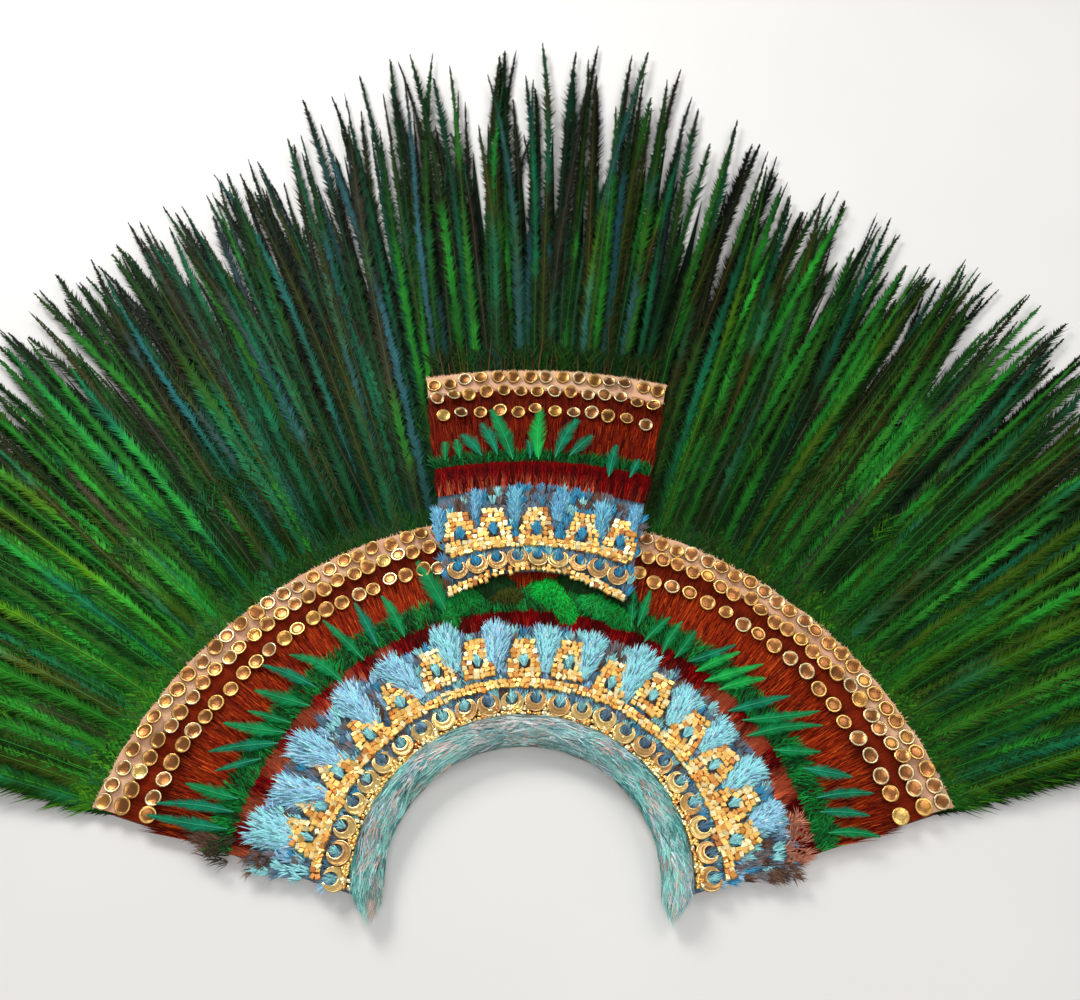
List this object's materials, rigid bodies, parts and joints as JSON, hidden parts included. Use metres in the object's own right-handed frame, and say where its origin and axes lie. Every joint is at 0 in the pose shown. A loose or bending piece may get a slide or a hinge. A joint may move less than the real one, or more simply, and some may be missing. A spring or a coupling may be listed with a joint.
{
  "type": "feathered headdress",
  "caption": "Feathered headdress lying on its back: a fan of long green plumes behind an arc of feather bands with gold ornaments round an open head hollow, and a raised panel at the crown.",
  "frame": {"origin": "centre of the whole part's box in X and Y, on the plane that its flat back rests on", "axes": "+X to the right as the front is seen with the plumes up, +Y towards the plume tips, +Z out of the front face"},
  "size_m": [1.7554, 1.174, 0.0243],
  "materials": {
    "backing": "undyed plant fibre sheet, matte",
    "trim": "rolled turquoise and teal feathers",
    "turquoise_bed": "short turquoise feathers with grey and brown ones",
    "red_band": "short dark red feathers",
    "brown_field": "rust brown feathers with fine streaks",
    "edge_strip_left": "pale hide strip with gold discs",
    "edge_strip_right": "pale hide strip with gold discs",
    "green_band": "green fur edge with pointed green feathers",
    "crescent_band": "thin beaten gold, satin",
    "step_band": "thin beaten gold, satin",
    "panel_backing": "undyed plant fibre sheet, matte",
    "panel_turquoise_bed": "short turquoise feathers with grey and brown ones",
    "panel_red_band": "short dark red feathers",
    "panel_brown_field": "rust brown feathers with fine streaks",
    "panel_edge_strip": "pale hide strip with gold discs",
    "panel_green_band": "green fur edge with pointed green feathers",
    "panel_hem": "thin beaten gold, satin",
    "panel_crescents": "thin beaten gold, satin",
    "panel_steps": "thin beaten gold, satin",
    "plumes_centre": "long green feathers with a blue sheen",
    "plumes_left_high": "long green feathers",
    "plumes_left_middle": "long green feathers",
    "plumes_left_low": "long green feathers, some olive",
    "plumes_right_high": "long green feathers",
    "plumes_right_middle": "long green feathers",
    "plumes_right_low": "long green feathers, some olive"
  },
  "bodies": {
    "root": {"backing": "backing", "trim": "trim", "turquoise_bed": "turquoise_bed", "red_band": "red_band", "brown_field": "brown_field", "edge_strip_left": "edge_strip_left", "edge_strip_right": "edge_strip_right", "green_band": "green_band", "crescent_band": "crescent_band", "step_band": "step_band", "panel_backing": "panel_backing", "panel_turquoise_bed": "panel_turquoise_bed", "panel_red_band": "panel_red_band", "panel_brown_field": "panel_brown_field", "panel_edge_strip": "panel_edge_strip", "panel_green_band": "panel_green_band", "panel_hem": "panel_hem", "panel_crescents": "panel_crescents", "panel_steps": "panel_steps", "plumes_centre": "plumes_centre", "plumes_left_high": "plumes_left_high", "plumes_left_middle": "plumes_left_middle", "plumes_left_low": "plumes_left_low", "plumes_right_high": "plumes_right_high", "plumes_right_middle": "plumes_right_middle", "plumes_right_low": "plumes_right_low"}
  },
  "joints": []
}
